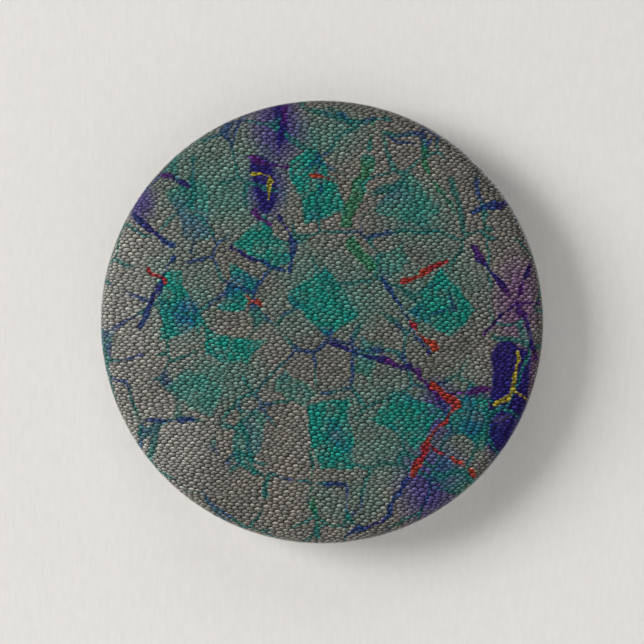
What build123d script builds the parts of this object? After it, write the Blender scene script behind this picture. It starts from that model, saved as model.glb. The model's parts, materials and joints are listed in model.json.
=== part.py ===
"""Button badge: a domed tinplate shell, a printed disc and a clear film crimped on to a back plate with a wire pin.

The badge stands as it is worn. The face looks along -Y, +Z is the top of the artwork, and the origin is the centre
of the plane that the rim's rearmost band lies in. Lengths are in millimetres.
"""
import math
import os

from build123d import *

# Driving dimensions of the body
badge_diameter = 57.15      # over the film, at the rim
body_depth = 5.4            # crown of the face to the rearmost band of the rim
edge_radius = 2.0           # roll from the face into the skirt
skirt_height = 0.3          # straight stretch between the two rolls
hem_radius = 1.3            # roll from the skirt on to the back
hem_land = 1.2              # flat band on the back, from the hem to the fold at its inner edge

# Thicknesses and the clearances between pieces
film_thickness = 0.08
paper_thickness = 0.15
shell_thickness = 0.25
plate_thickness = 0.25
layer_gap = 0.02            # between two layers that are pressed together
crimp_clearance = 0.1       # round the plate's wall, inside the shell
fold_clearance = 0.08       # beside the shell's cut edge, inside the film's and paper's fold

# Back plate
plate_bend_radius = 0.5     # outside of the bend from the flange into the wall
flange_width = 2.8          # flat flange between the bend and the step
step_width = 0.7            # radial width of the step down to the middle
recess_depth = 1.5          # rim plane to the middle of the plate
bead_radius = 23.0          # middle of the embossed ring
bead_width = 1.4
bead_height = 0.4

# Pin
wire_diameter = 0.9
needle_length = 38.0        # coil to point
point_length = 8.0          # ground part of the needle
point_radius = 0.05
needle_tilt = 2.0           # degrees, the needle leaning away from the plate
coil_radius = 3.0           # to the middle of the wire
coil_turns = 1.5
coil_pitch = 1.1
coil_arm = 3.2              # nearly straight wire between the coil and the needle
coil_centre_x = 17.5
pin_height = 5.0            # pin's middle above the badge's centre
wire_rest_gap = 0.02        # base leg over the plate
wire_split_gap = 0.05       # between the three nodes of the one wire
catch_distance = 33.8       # coil's middle to the catch, along the base leg
catch_bend_radius = 1.2
catch_clearance = 0.2       # needle to the catch's post
catch_lead = 1.6            # post above the needle's axis
catch_tip_fillet = 0.3

# Bridges lanced from the plate, over the base leg
bridge_width = 2.4
bridge_span = 6.0
bridge_clearance = 0.05
bridge_distance = 22.0      # between the two bridges' middles
bridge_middle_x = 0.5

# Worked out from the dimensions above
rim_radius = badge_diameter / 2
edge_centre_r = rim_radius - edge_radius
edge_centre_y = -(hem_radius + skirt_height)
hem_centre_r = rim_radius - hem_radius
fold_centre_r = hem_centre_r - hem_land
crown_height = body_depth + edge_centre_y
crown_radius = (edge_centre_r**2 + crown_height**2 - edge_radius**2) / (2 * (crown_height - edge_radius))
crown_centre_y = crown_radius - body_depth
crown_angle = math.degrees(math.asin(edge_centre_r / (crown_radius - edge_radius)))

paper_depth = film_thickness + layer_gap
shell_depth = paper_depth + paper_thickness + layer_gap
shell_inside = shell_depth + shell_thickness
fold_radius = shell_depth + shell_thickness / 2 + layer_gap

plate_wall_radius = rim_radius - shell_inside - crimp_clearance
flange_y = -(2 * fold_radius + layer_gap)
step_outer_r = plate_wall_radius - plate_bend_radius - flange_width
step_inner_r = step_outer_r - step_width
edge_roll_inside = edge_radius - shell_inside
wall_end_y = (
    edge_centre_y
    - math.sqrt(edge_roll_inside**2 - (edge_roll_inside - crimp_clearance) ** 2)
    + layer_gap
)

wire_radius = wire_diameter / 2
base_y = -recess_depth + wire_radius + wire_rest_gap
base_z = pin_height - coil_radius
needle_z = pin_height + coil_radius
needle_y = base_y + coil_turns * coil_pitch
coil_slope = math.degrees(math.atan(coil_pitch / (2 * math.pi * coil_radius)))
catch_x = coil_centre_x - catch_distance
arm_start = Vector(coil_centre_x, needle_y, needle_z)
post_z = needle_z + wire_diameter + catch_clearance
post_top_y = needle_y + catch_distance * math.tan(math.radians(needle_tilt)) + catch_lead
bridge_rise = wire_diameter + wire_rest_gap + bridge_clearance + plate_thickness


def leaning(angle):
    """The direction along the needle's side of the pin that leans this many degrees away from the plate."""
    return Vector(-math.cos(math.radians(angle)), math.sin(math.radians(angle)), 0)


def body_outline(depth):
    """One surface of the pressed layers, depth inside the visible one: crown, edge roll, skirt and hem."""
    crown = CenterArc((0, crown_centre_y), crown_radius - depth, -90, crown_angle)
    edge = CenterArc((edge_centre_r, edge_centre_y), edge_radius - depth, crown_angle - 90, 90 - crown_angle)
    skirt = Line((rim_radius - depth, edge_centre_y), (rim_radius - depth, -hem_radius))
    hem = CenterArc((hem_centre_r, -hem_radius), hem_radius - depth, 0, 90)
    land = Line((hem_centre_r, -depth), (fold_centre_r, -depth))
    return [crown, edge, skirt, hem, land]


def fold_outline(depth):
    """The same surface where it folds round the shell's cut edge and runs back out under the hem."""
    fold = CenterArc((fold_centre_r, -fold_radius), fold_radius - depth, 90, 180)
    tail = Line((fold_centre_r, depth - 2 * fold_radius), (hem_centre_r, depth - 2 * fold_radius))
    return [fold, tail]


def turned(edges):
    """A solid of revolution about the badge's axis, from the closed section that these edges make."""
    return revolve(make_face(edges), Axis.Y, 360)


def wrapped_layer(depth, thickness):
    """A layer that covers the face, wraps round the rim and folds round the shell's edge."""
    inside = depth + thickness
    on_axis = Line((0, -body_depth + depth), (0, -body_depth + inside))
    tail_end = Line((hem_centre_r, depth - 2 * fold_radius), (hem_centre_r, inside - 2 * fold_radius))
    visible = body_outline(depth) + fold_outline(depth)
    hidden = body_outline(inside) + fold_outline(inside)
    return turned(visible + hidden + [on_axis, tail_end])


def front_shell():
    """The domed shell, its edge curled in over the back plate and cut off inside the fold."""
    cut_r = fold_centre_r + fold_clearance
    on_axis = Line((0, -body_depth + shell_depth), (0, -body_depth + shell_inside))
    outside = body_outline(shell_depth)[:-1] + [Line((hem_centre_r, -shell_depth), (cut_r, -shell_depth))]
    inside = body_outline(shell_inside)[:-1] + [Line((hem_centre_r, -shell_inside), (cut_r, -shell_inside))]
    cut_edge = Line((cut_r, -shell_depth), (cut_r, -shell_inside))
    return turned(outside + inside + [on_axis, cut_edge])


def plate_outline(depth):
    """One surface of the pressed plate, depth in front of the rear one: middle, bead, step, flange, bend, wall."""
    middle_y = -recess_depth - depth
    bead_start = bead_radius - bead_width / 2
    bead_end = bead_radius + bead_width / 2
    bend_centre = (plate_wall_radius - plate_bend_radius, flange_y - plate_bend_radius)
    wall_r = plate_wall_radius - depth
    return [
        Line((0, middle_y), (bead_start, middle_y)),
        ThreePointArc((bead_start, middle_y), (bead_radius, middle_y + bead_height), (bead_end, middle_y)),
        Line((bead_end, middle_y), (step_inner_r, middle_y)),
        Line((step_inner_r, middle_y), (step_outer_r, flange_y - depth)),
        Line((step_outer_r, flange_y - depth), (bend_centre[0], flange_y - depth)),
        CenterArc(bend_centre, plate_bend_radius - depth, 0, 90),
        Line((wall_r, bend_centre[1]), (wall_r, wall_end_y)),
    ]


def bridge(middle_x):
    """One strip lanced from the plate and pressed out as an arch over the base leg."""
    half = bridge_span / 2
    top_y = -recess_depth + bridge_rise
    front_y = -recess_depth - plate_thickness
    arch = make_face([
        ThreePointArc((0, -recess_depth, -half), (0, top_y, 0), (0, -recess_depth, half)),
        Line((0, -recess_depth, half), (0, front_y, half)),
        ThreePointArc((0, front_y, half), (0, top_y - plate_thickness, 0), (0, front_y, -half)),
        Line((0, front_y, -half), (0, -recess_depth, -half)),
    ])
    strip = extrude(arch, bridge_width / 2, dir=(1, 0, 0), both=True)
    return Pos(middle_x, 0, base_z) * strip


def back_plate():
    """The pressed plate, with a window under each lanced bridge."""
    ends = [
        Line((0, -recess_depth), (0, -recess_depth - plate_thickness)),
        Line((plate_wall_radius, wall_end_y), (plate_wall_radius - plate_thickness, wall_end_y)),
    ]
    plate = turned(plate_outline(0) + plate_outline(plate_thickness) + ends)
    middle_y = -recess_depth - plate_thickness / 2
    for side in (-1, 1):
        bridge_x = bridge_middle_x + side * bridge_distance / 2
        window = Box(bridge_width, 2 * plate_thickness, bridge_span)
        plate = plate - Pos(bridge_x, middle_y, base_z) * window
        plate = plate + bridge(bridge_x)
    return plate


def arm_end():
    """Where the coil's arm ends, after its slight bend from the coil's slope to the needle's tilt."""
    return arm_start + leaning((coil_slope + needle_tilt) / 2) * coil_arm


def wire_along(path):
    """Round wire along a path, square-cut at both ends."""
    section = Plane(origin=path @ 0, z_dir=path % 0) * Circle(wire_radius)
    return sweep(section, path=path, transition=Transition.ROUND)


def pin_base_wire():
    """The base leg under the two bridges, bent up beside the needle as the catch."""
    path = FilletPolyline(
        (coil_centre_x - wire_split_gap, base_y, base_z),
        (catch_x, base_y, base_z),
        (catch_x, base_y, post_z),
        (catch_x, post_top_y, post_z),
        radius=catch_bend_radius,
    )
    wire = wire_along(path)
    tip = wire.faces().sort_by(Axis.Y)[-1]
    return fillet(tip.edges(), catch_tip_fillet)


def pin_coil():
    """The flat spring coil, from the end of the base leg round to the arm that carries the needle."""
    height = coil_turns * coil_pitch
    turns = Helix(coil_pitch, height, coil_radius, direction=(0, 1, 0), lefthand=True)
    start = turns @ 0
    start_angle = math.degrees(math.atan2(start.Z, start.X))
    placed = Pos(coil_centre_x, base_y, pin_height) * Rot(0, start_angle + 90, 0) * turns
    arm_tip = arm_end() - leaning(needle_tilt) * wire_split_gap
    arm = Spline(arm_start, arm_tip, tangents=(leaning(coil_slope), leaning(needle_tilt)))
    return wire_along(placed) + wire_along(arm)


def pin_needle():
    """The straight needle, ground to a point, from the end of the coil's arm."""
    shank_length = needle_length - coil_arm - point_length
    upright = (Align.CENTER, Align.CENTER, Align.MIN)
    shank = Cylinder(wire_radius, shank_length, align=upright)
    point = Pos(0, 0, shank_length) * Cone(wire_radius, point_radius, point_length, align=upright)
    return Plane(origin=arm_end(), z_dir=leaning(needle_tilt)) * (shank + point)


nodes = {
    "clear_film": wrapped_layer(0, film_thickness),
    "artwork_disc": wrapped_layer(paper_depth, paper_thickness),
    "front_shell": front_shell(),
    "back_plate": back_plate(),
    "pin_base_wire": pin_base_wire(),
    "pin_coil": pin_coil(),
    "pin_needle": pin_needle(),
}

os.makedirs("parts", exist_ok=True)
for name, piece in nodes.items():
    export_step(piece, f"parts/{name}.step")
    print(name, round(piece.volume, 2), piece.bounding_box())
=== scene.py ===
"""Looks of a button badge: a printed, pebble-grained disc under clear film, pressed over a tinplate shell
and crimped to a back plate that holds a spring wire pin. Run as a script. Lengths are in metres, in the
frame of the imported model: the face looks along -Y and +Z is the top of the artwork."""
import json
import math

import bpy
import numpy as np
from bpy.props import FloatProperty, FloatVectorProperty, IntProperty, PointerProperty
from bpy.types import Operator, Panel, PropertyGroup
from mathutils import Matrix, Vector
from mathutils.geometry import delaunay_2d_cdt


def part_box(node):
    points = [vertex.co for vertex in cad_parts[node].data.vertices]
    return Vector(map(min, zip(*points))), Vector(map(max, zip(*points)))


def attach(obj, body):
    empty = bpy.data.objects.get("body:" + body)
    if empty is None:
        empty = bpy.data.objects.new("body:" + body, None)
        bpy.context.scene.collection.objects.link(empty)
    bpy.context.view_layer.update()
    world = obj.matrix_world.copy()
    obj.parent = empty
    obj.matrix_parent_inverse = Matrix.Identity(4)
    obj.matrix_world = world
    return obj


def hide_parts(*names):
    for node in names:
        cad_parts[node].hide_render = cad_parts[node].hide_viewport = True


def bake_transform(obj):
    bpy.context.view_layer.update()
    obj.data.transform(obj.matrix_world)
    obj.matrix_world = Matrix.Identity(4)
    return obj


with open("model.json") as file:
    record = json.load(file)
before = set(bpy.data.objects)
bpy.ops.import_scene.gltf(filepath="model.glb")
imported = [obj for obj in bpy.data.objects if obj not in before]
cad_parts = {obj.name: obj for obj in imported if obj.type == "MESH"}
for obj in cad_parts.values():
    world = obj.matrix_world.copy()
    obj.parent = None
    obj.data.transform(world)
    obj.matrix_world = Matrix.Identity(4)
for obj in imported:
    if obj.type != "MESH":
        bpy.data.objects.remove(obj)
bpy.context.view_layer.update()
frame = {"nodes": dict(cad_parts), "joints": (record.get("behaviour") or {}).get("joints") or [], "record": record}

bl_info = {
    "name": "Button Badge",
    "version": (1, 0, 0),
    "blender": (4, 5, 0),
    "location": "3D View > Sidebar > Badge",
    "description": "Builds the visible pieces of a pressed button badge with a wire pin",
    "category": "Object",
}

MM = 0.001
FILM_LOW, FILM_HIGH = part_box("clear_film")
PAPER_LOW, PAPER_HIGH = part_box("artwork_disc")
SHELL_LOW, SHELL_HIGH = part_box("front_shell")
BASE_LOW, BASE_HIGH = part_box("pin_base_wire")
COIL_LOW, COIL_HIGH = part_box("pin_coil")
NEEDLE_LOW, NEEDLE_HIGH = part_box("pin_needle")
JOINTS = {joint["name"]: joint for joint in frame["joints"]}
NEEDLE_MOUNT = next(m for m in frame["record"]["mounts"] if m["name"] == "needle")
RIM_RADIUS = FILM_HIGH.x
# Rings along the coil's arm, and the least radius of the wire's cut end and of its point, as shares.
ARM_STEPS = 16
LEAST_END = 0.12
LEAST_POINT = 0.04


# ---------------------------------------------------------------- sizes and colours

def length(name, millimetres, description):
    """A length that a user can change."""
    return FloatProperty(name=name, description=description, default=millimetres * MM, unit="LENGTH")


def number(name, default, description):
    """A plain number that a user can change."""
    return FloatProperty(name=name, description=description, default=default)


def count(name, default, description, least=0):
    """A whole number that a user can change."""
    return IntProperty(name=name, description=description, default=default, min=least)


def tint(name, default, description):
    """A linear colour that a user can change."""
    return FloatVectorProperty(
        name=name, description=description, subtype="COLOR", default=default, min=0, max=1)


class BodySizes(PropertyGroup):
    edge_radius: length("Edge roll", 2.0, "Roll from the face into the skirt")
    skirt_height: length("Skirt", 0.3, "Straight stretch between the two rolls")
    hem_radius: length("Hem roll", 1.3, "Roll from the skirt on to the back")
    hem_land: length("Hem land", 1.2, "Flat band of film on the back")
    fold_radius: length("Fold", 0.415, "Fold of the film round the shell's cut edge")
    paper_thickness: length("Paper", 0.15, "Thickness of the printed paper")
    film_thickness: length("Film", 0.08, "Thickness of the clear film")
    profile_step: length("Profile step", 0.12, "Spacing of rings away from the grain")
    ring_count: count("Ring points", 144, "Points round each plain ring", 24)


class GrainSizes(PropertyGroup):
    pebble_width: length("Pebble width", 0.94, "Mean spacing along a row")
    pebble_height: length("Pebble height", 0.376, "Mean spacing of the rows")
    stretch: number("Stretch", 2.0, "How much wider than tall a pebble is")
    jitter: number("Jitter", 0.28, "How far a pebble strays from its row, as a share of the spacing")
    drift: number("Drift", 0.2, "How far a row slides along, as a share of the pebble width")
    waver: length("Waver", 0.34, "How far the rows bend up and down")
    relief: length("Relief", 0.11, "Depth of the creases in the print")
    film_share: number("Film relief", 0.5, "Depth of the creases in the film, as a share of the print's")
    shoulder: number("Shoulder", 0.70, "Where a pebble's top rolls into its side, as a share")
    shoulder_height: number("Shoulder height", 0.80, "Height of that roll, as a share of the relief")
    seed: count("Seed", 11, "Picks one layout of pebbles")


class PinSizes(PropertyGroup):
    bend_radius: length("Bend", 1.2, "Bends of the base leg and catch")
    coil_turns: number("Coil turns", 1.5, "Turns in the spring coil")
    arm_bow: length("Arm bow", 0.02, "Least bow of the wire between the coil and the straight needle")
    point_length: length("Point", 8.0, "Ground part of the needle")
    wire_sides: count("Wire sides", 28, "Points round the wire", 8)
    wire_step: length("Wire step", 0.2, "Spacing of rings along the wire")


class PrintColours(PropertyGroup):
    leather: tint("Leather", (0.180, 0.174, 0.157), "Ground colour of the print")
    leather_dark: tint("Worn leather", (0.124, 0.127, 0.114), "Darker clouds in the ground")
    leather_warm: tint("Warm leather", (0.190, 0.158, 0.138), "Warmer pebbles in the ground")
    # Paler print towards the left, partly painted light from the left on the rim.
    leather_pale_and_painted_light: tint("Pale leather and painted light", (0.262, 0.264, 0.243), "Lighter ground towards the left")
    # Painted highlight on the side of each pebble towards the light.
    painted_highlight: tint("Painted highlight", (0.62, 0.60, 0.56), "Lit side of the pebbles")
    teal: tint("Teal", (0.005, 0.190, 0.155), "Painted dabs and haze")
    azure: tint("Azure", (0.008, 0.105, 0.190), "Where the dabs turn to blue")
    teal_deep: tint("Deep teal", (0.006, 0.125, 0.115), "Thin teal lines")
    green: tint("Green", (0.012, 0.155, 0.070), "Green lines")
    blue: tint("Blue", (0.006, 0.034, 0.145), "Blue lines")
    indigo: tint("Indigo", (0.008, 0.004, 0.115), "Dark blocks and lines")
    plum: tint("Plum", (0.060, 0.007, 0.115), "Where the dark lines turn to red")
    violet: tint("Violet", (0.052, 0.036, 0.185), "Soft haze near the rim")
    mauve: tint("Mauve", (0.150, 0.070, 0.170), "Soft haze at the right")
    red: tint("Red", (0.24, 0.008, 0.016), "Bright red lines")
    orange: tint("Orange", (0.30, 0.028, 0.010), "Where the red lines run hot")
    yellow: tint("Yellow", (0.30, 0.25, 0.010), "Fine lines on the dark blocks")


class MetalColours(PropertyGroup):
    tinplate: tint("Tinplate", (0.66, 0.655, 0.64), "Bright rolled tinplate")
    nickel: tint("Nickel", (0.63, 0.61, 0.57), "Nickel-plated spring wire")


class StudioSettings(PropertyGroup):
    view_width: length("View width", 82.9, "Width of view at the rim")
    lens: number("Lens", 135.0, "Focal length in millimetres")
    wall_gap: length("Wall gap", 0.2, "Clear space between the pin and the wall")
    floor_drop: length("Floor drop", 47.0, "Floor below the badge's centre")
    key_power: number("Key light", 21.6, "Watts")
    top_power: number("Top light", 2.8, "Watts")
    fill_power: number("Fill light", 0.48, "Watts")
    back_power: number("Back lights", 2.6, "Watts")
    world_strength: number("World", 0.10, "Strength of the plain surroundings")
    backdrop_strength: number("Backdrop", 0.74, "How bright the surroundings look to the camera")
    paper: tint("Wall", (0.80, 0.787, 0.770), "Pale wall behind the badge")


def settings():
    """The scene's badge settings."""
    return bpy.context.scene.badge_settings


# ---------------------------------------------------------------- shader helpers

def feed(tree, socket, value):
    """Link a socket, or set its value."""
    if isinstance(value, bpy.types.NodeSocket):
        tree.links.new(value, socket)
    else:
        socket.default_value = value


def add(tree, kind, inputs=(), **values):
    """A new node with these attributes set and these inputs fed."""
    node = tree.nodes.new(kind)
    for name, value in values.items():
        setattr(node, name, value)
    for socket, value in dict(inputs).items():
        feed(tree, node.inputs[socket], value)
    return node


def maths(tree, operation, *values):
    """A Math node's output."""
    return add(tree, "ShaderNodeMath", enumerate(values), operation=operation).outputs[0]


def times(tree, first, second):
    """Two numbers multiplied."""
    return maths(tree, "MULTIPLY", first, second)


def vectors(tree, operation, *values):
    """A Vector Math node's output: a vector, or the number that a product, distance or length gives."""
    node = add(tree, "ShaderNodeVectorMath", enumerate(values), operation=operation)
    return node.outputs["Value" if operation in ("DOT_PRODUCT", "DISTANCE", "LENGTH") else "Vector"]


def scaled(tree, place, size):
    """A vector times a number."""
    return add(tree, "ShaderNodeVectorMath", {0: place, "Scale": size}, operation="SCALE").outputs[0]


def stretched(tree, place, scale, turn=0.0):
    """A place turned about Y, in degrees, then scaled along each axis."""
    inputs = {"Vector": place, "Rotation": (0, math.radians(turn), 0), "Scale": scale}
    return add(tree, "ShaderNodeMapping", inputs).outputs[0]


def object_place(tree):
    """Where a point of the surface is, in the object's own frame."""
    return add(tree, "ShaderNodeTexCoord").outputs["Object"]


def ramp(tree, value, from_min, from_max, to_min=0.0, to_max=1.0):
    """A smooth step of a value, from one level to another."""
    titles = ("Value", "From Min", "From Max", "To Min", "To Max")
    inputs = zip(titles, (value, from_min, from_max, to_min, to_max))
    return add(tree, "ShaderNodeMapRange", inputs, interpolation_type="SMOOTHSTEP", clamp=False).outputs[0]


def noise(tree, place, scale, detail=2.0, roughness=0.5, output="Fac"):
    """A Noise Texture's output at a place."""
    inputs = {"Vector": place, "Scale": scale, "Detail": detail, "Roughness": roughness}
    return add(tree, "ShaderNodeTexNoise", inputs).outputs[output]


def mix(tree, factor, first, second, blend_type="MIX"):
    """Two colours mixed."""
    node = add(tree, "ShaderNodeMix", data_type="RGBA", blend_type=blend_type)
    colours = [socket for socket in node.inputs if socket.type == "RGBA"]
    feed(tree, node.inputs["Factor"], factor)
    feed(tree, colours[0], rgba(first))
    feed(tree, colours[1], rgba(second))
    return next(socket for socket in node.outputs if socket.type == "RGBA")


def over(tree, colour, ink, mask, strength):
    """Ink laid over a colour through a mask."""
    return mix(tree, times(tree, mask, strength), colour, ink)


def multiplied(tree, colour, value):
    """A colour lightened or darkened by a number."""
    grey = add(tree, "ShaderNodeCombineColor", {0: value, 1: value, 2: value}).outputs[0]
    return mix(tree, 1.0, colour, grey, "MULTIPLY")


def rgba(colour):
    """A colour with its alpha, or the socket it comes from."""
    if isinstance(colour, bpy.types.NodeSocket) or len(colour) == 4:
        return colour
    return (*colour, 1.0)


def darker(colour, share):
    """A colour times this share."""
    return tuple(channel * share for channel in colour)


def attribute(tree, name, output="Fac"):
    """A mesh attribute's value at the surface."""
    return add(tree, "ShaderNodeAttribute", attribute_name=name).outputs[output]


def new_group(name, inputs, outputs):
    """An empty shader node group: its tree, what it is given and what it puts out."""
    tree = bpy.data.node_groups.new(name, "ShaderNodeTree")
    for title, default in inputs.items():
        kind = "NodeSocketVector" if isinstance(default, tuple) else "NodeSocketFloat"
        tree.interface.new_socket(name=title, in_out="INPUT", socket_type=kind).default_value = default
    for title in outputs:
        tree.interface.new_socket(name=title, in_out="OUTPUT", socket_type="NodeSocketFloat")
    return tree, tree.nodes.new("NodeGroupInput").outputs, tree.nodes.new("NodeGroupOutput").inputs


def feed_all(tree, node, values):
    """Feeds a node's inputs by name, with _ for a space."""
    for name, value in values.items():
        feed(tree, node.inputs[name.replace("_", " ")], value)


def use_group(tree, group, **values):
    """What a node group puts out, placed in a tree and given these values."""
    node = add(tree, "ShaderNodeGroup", node_tree=group)
    feed_all(tree, node, values)
    return node.outputs


def new_material(name):
    """An empty node material: its tree, Principled shader and output node."""
    material = bpy.data.materials.new(name)
    material.use_nodes = True
    tree = material.node_tree
    shader = next(node for node in tree.nodes if node.type == "BSDF_PRINCIPLED")
    output = next(node for node in tree.nodes if node.type == "OUTPUT_MATERIAL")
    return material, tree, shader, output


def bump(tree, height, distance, strength):
    """A Bump node's normal."""
    inputs = {"Height": height, "Distance": distance, "Strength": strength}
    return add(tree, "ShaderNodeBump", inputs).outputs[0]


def once(kind, name):
    """Marks a function that makes a node group or a material, so that it is made the first time only."""
    def marked(make):
        return lambda: getattr(bpy.data, kind).get(name) or make(name)
    return marked


# ---------------------------------------------------------------- shared effects

ORIGIN = (0, 0, 0)


@once("node_groups", "Print stroke")
def stroke_group(name):
    """How far a place lies outside the nearest of the straight strokes so far and one more."""
    tree, given, result = new_group(name, {
        "Place": ORIGIN, "From": ORIGIN, "Along": (1, 0, 0), "Aim": (1, 0, 0),
        "Width": 0.01, "Nearest": 1.0,
    }, ["Nearest"])
    away = vectors(tree, "SUBTRACT", given["Place"], given["From"])
    reach = vectors(tree, "DOT_PRODUCT", away, given["Aim"])
    share = maths(tree, "MINIMUM", maths(tree, "MAXIMUM", reach, 0.0), 1.0)
    miss = vectors(tree, "DISTANCE", away, scaled(tree, given["Along"], share))
    outside = maths(tree, "SUBTRACT", miss, given["Width"])
    feed(tree, result["Nearest"], maths(tree, "MINIMUM", outside, given["Nearest"]))
    return tree


@once("node_groups", "Print dab")
def dab_group(name):
    """How far a place lies outside the nearest of the square-ended dabs so far and one more."""
    tree, given, result = new_group(name, {
        "Place": ORIGIN, "Middle": ORIGIN, "Along": (1, 0, 0), "Across": (0, 1, 0), "Half length": 0.1,
        "Half width": 0.05, "Taper": 0.0, "Nearest": 1.0,
    }, ["Nearest"])
    away = vectors(tree, "SUBTRACT", given["Place"], given["Middle"])
    along = vectors(tree, "DOT_PRODUCT", away, given["Along"])
    across = vectors(tree, "DOT_PRODUCT", away, given["Across"])
    width = maths(tree, "MULTIPLY_ADD", along, given["Taper"], given["Half width"])
    beside = maths(tree, "SUBTRACT", maths(tree, "ABSOLUTE", across), width)
    beyond = maths(tree, "SUBTRACT", maths(tree, "ABSOLUTE", along), given["Half length"])
    outside = maths(tree, "MAXIMUM", beside, beyond)
    feed(tree, result["Nearest"], maths(tree, "MINIMUM", outside, given["Nearest"]))
    return tree


@once("node_groups", "Print patch")
def patch_group(name):
    """How far a place lies from the nearest of the ovals' middles so far and one more, in oval sizes."""
    tree, given, result = new_group(name, {
        "Place": ORIGIN, "Middle": ORIGIN, "Shrink": (1, 1, 1), "Nearest": 9.0,
    }, ["Nearest"])
    away = vectors(tree, "SUBTRACT", given["Place"], given["Middle"])
    distance = vectors(tree, "LENGTH", vectors(tree, "MULTIPLY", away, given["Shrink"]))
    feed(tree, result["Nearest"], maths(tree, "MINIMUM", distance, given["Nearest"]))
    return tree


@once("node_groups", "Handling marks")
def handling_group(name):
    """Marks of handling on a hard surface: fine scratches and faint smudges."""
    outputs = ["Scratches", "Smudges", "Height"]
    tree, given, result = new_group(name, {"Place": ORIGIN, "Size": 1.0}, outputs)
    place = scaled(tree, given["Place"], given["Size"])
    lines = []
    for angle, stretch in ((20, 260.0), (-55, 340.0)):
        turned = stretched(tree, place, (stretch, 700.0, stretch * 22), angle)
        lines.append(ramp(tree, noise(tree, turned, 1.0, 0.0), 0.70, 0.78))
    gate = ramp(tree, noise(tree, place, 260.0), 0.42, 0.62)
    scratches = times(tree, maths(tree, "MAXIMUM", *lines), gate)
    smudges = ramp(tree, noise(tree, place, 130.0, 4.0, 0.6), 0.35, 0.72)
    for title, value in zip(outputs, (scratches, smudges, times(tree, scratches, -1.0))):
        feed(tree, result[title], value)
    return tree


# ---------------------------------------------------------------- the print

# Places on the flat print, in rim radii from its centre: right, then up.
TEAL_HAZE = (
    ((-0.46, 0.64), (0.46, 0.38)), ((-0.62, 0.14), (0.26, 0.34)), ((0.02, 0.12), (0.46, 0.34)),
    ((0.50, 0.12), (0.34, 0.36)), ((0.42, 0.46), (0.26, 0.26)), ((0.36, -0.44), (0.54, 0.44)),
    ((-0.44, -0.26), (0.30, 0.20)), ((0.02, 0.84), (0.26, 0.18)), ((0.12, -0.80), (0.24, 0.16)),
)
VIOLET_HAZE = (
    ((-0.20, 0.88), (0.17, 0.26)), ((-0.83, 0.55), (0.11, 0.13)), ((-0.25, 0.60), (0.13, 0.19)),
    ((0.48, -0.72), (0.20, 0.28)), ((0.84, -0.42), (0.15, 0.34)), ((0.52, -0.40), (0.13, 0.20)),
)
MAUVE_HAZE = (((0.88, 0.10), (0.15, 0.28)), ((0.90, -0.22), (0.12, 0.20)))
# Ovals of paler print towards the left, partly painted light from the left on the rim.
PALE_PRINT_AND_LEFT_LIGHT = (((-0.98, 0.08), (0.52, 0.70)), ((-0.74, -0.55), (0.36, 0.34)))
# Loose dabs of a broad brush: middle, half length, half width, lean in degrees from upright, taper.
TEAL_DABS = (
    ((-0.04, 0.61), 0.15, 0.082, 22, -0.10), ((-0.25, 0.34), 0.11, 0.078, 40, 0.16),
    ((-0.65, 0.09), 0.14, 0.074, 14, -0.24), ((-0.41, -0.11), 0.060, 0.120, -16, 0.30),
    ((-0.37, 0.14), 0.070, 0.085, 66, 0.10), ((0.02, 0.08), 0.13, 0.096, 38, 0.12),
    ((0.55, 0.07), 0.12, 0.098, 50, 0.20), ((0.04, -0.50), 0.15, 0.090, 10, 0.10),
    ((0.38, -0.42), 0.12, 0.100, 58, -0.14), ((0.68, -0.44), 0.12, 0.082, 42, 0.24),
)
FADED_DABS = (
    ((-0.58, 0.50), 0.13, 0.070, 10, 0.10), ((0.40, 0.53), 0.11, 0.090, 52, 0.24),
    ((0.30, 0.27), 0.060, 0.090, 24, 0.0), ((-0.56, -0.30), 0.070, 0.115, -30, -0.24),
    ((-0.33, -0.52), 0.11, 0.055, -14, 0.12), ((0.58, -0.70), 0.060, 0.090, -34, 0.0),
    ((-0.13, -0.30), 0.050, 0.080, -38, 0.3), ((0.20, -0.16), 0.050, 0.085, 70, 0.0),
)
GREEN_DABS = ((((0.21, 0.72), (0.11, 0.46)), 0.028), (((0.13, 0.36), (0.22, 0.26)), 0.030))
INDIGO_BLOCKS = (
    (((-0.28, 0.70), (-0.24, 0.54)), 0.046), (((0.83, -0.14), (0.81, -0.52)), 0.062),
    (((0.90, -0.16), (0.88, -0.40)), 0.045), (((-0.20, 0.97), (-0.17, 0.82)), 0.026),
)
BLUE_LINES = (
    (((-0.86, 0.49), (-0.67, 0.35)), 0.011), (((-0.67, 0.29), (-0.82, -0.03)), 0.009),
    (((-0.20, 0.50), (-0.12, 0.36), (-0.15, 0.22)), 0.009), (((0.05, -0.10), (0.36, -0.20)), 0.009),
    (((0.38, -0.70), (0.30, -0.86), (0.10, -0.97)), 0.010), (((0.68, 0.49), (0.83, 0.54)), 0.011),
    (((0.27, 0.20), (0.47, -0.12)), 0.008), (((-0.40, 0.34), (-0.18, 0.22)), 0.007),
)
INDIGO_LINES = (
    (((0.87, 0.09), (0.67, 0.35)), 0.011), (((0.87, 0.09), (0.95, 0.29)), 0.009),
    (((0.87, 0.09), (0.99, 0.09)), 0.011), (((0.87, 0.09), (0.98, -0.19)), 0.009),
    (((0.87, 0.09), (0.70, -0.07)), 0.010), (((-0.17, 0.98), (-0.19, 0.76)), 0.009),
    (((0.30, -0.18), (0.42, -0.20), (0.52, -0.33), (0.79, -0.30)), 0.011),
    (((-0.73, 0.67), (-0.60, 0.615)), 0.009), (((-0.30, 0.50), (-0.22, 0.44)), 0.009),
    (((-0.36, 0.74), (-0.16, 0.70)), 0.007),
)
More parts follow.
